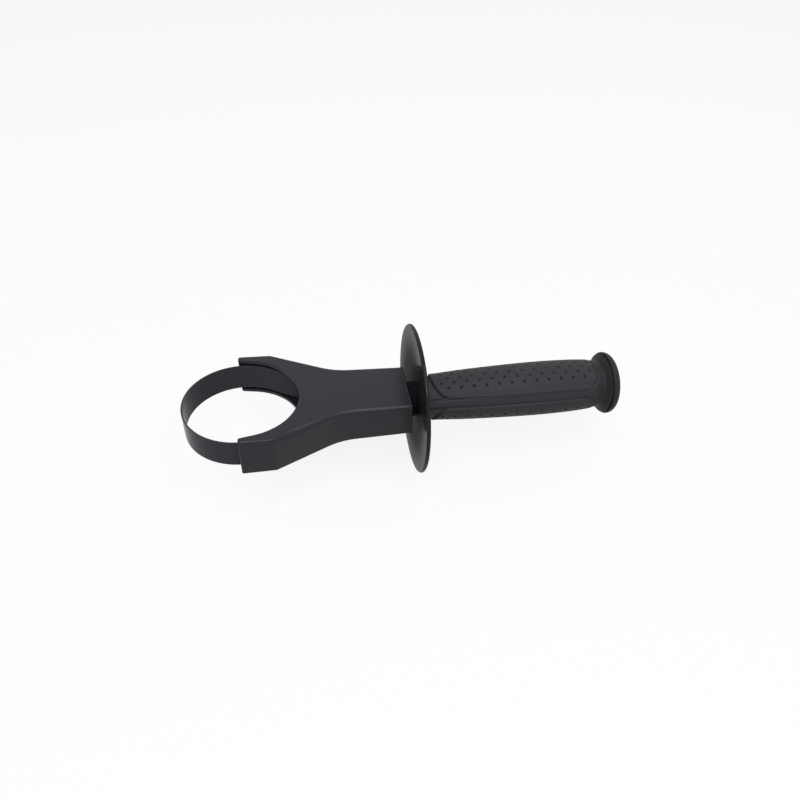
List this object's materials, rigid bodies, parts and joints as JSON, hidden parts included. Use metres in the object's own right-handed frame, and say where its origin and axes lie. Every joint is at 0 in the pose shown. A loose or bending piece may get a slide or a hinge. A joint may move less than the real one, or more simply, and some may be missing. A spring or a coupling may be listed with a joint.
{
  "type": "power tool side handle",
  "caption": "Side handle for a power tool: a fork with a steel strap loop that clamps on the tool's collar when the guarded, cushioned grip is turned.",
  "frame": {"origin": "centre of the clamped collar, at the middle of the strap's width", "axes": "+Z along the tool's collar, +X from the collar towards the grip, +Y across the fork"},
  "size_m": [0.2598, 0.0896, 0.0896],
  "materials": {
    "housing": "fine moulded texture",
    "strap": "steel band with a thin black coating",
    "bolt": "zinc plated steel",
    "washer": "plain steel",
    "core": "semi-gloss moulded",
    "insert": "turned",
    "sleeve": "soft matt overmould",
    "cap": "soft matt"
  },
  "bodies": {
    "fork": {"clamp_housing": "housing", "thrust_washer": "washer"},
    "strap_carriage": {"clamp_strap": "strap", "draw_bolt": "bolt", "pressure_plate": "bolt"},
    "grip": {"grip_core": "core", "grip_insert": "insert", "grip_sleeve": "sleeve", "end_cap": "cap"}
  },
  "joints": [
    {"name": "grip_turn", "type": "hinge", "parent": "fork", "child": "grip", "pos_m": [0.1, 0, 0], "axis": [-1, 0, 0], "range_deg": [-1440, 288]},
    {"name": "strap_draw", "type": "slide", "parent": "fork", "child": "strap_carriage", "axis": [1, 0, 0], "range_m": [-0.005, 0.001]}
  ],
  "couplings": [
    {"joint": "strap_draw", "follows": "grip_turn", "m_per_rad": 0.00019894}
  ]
}
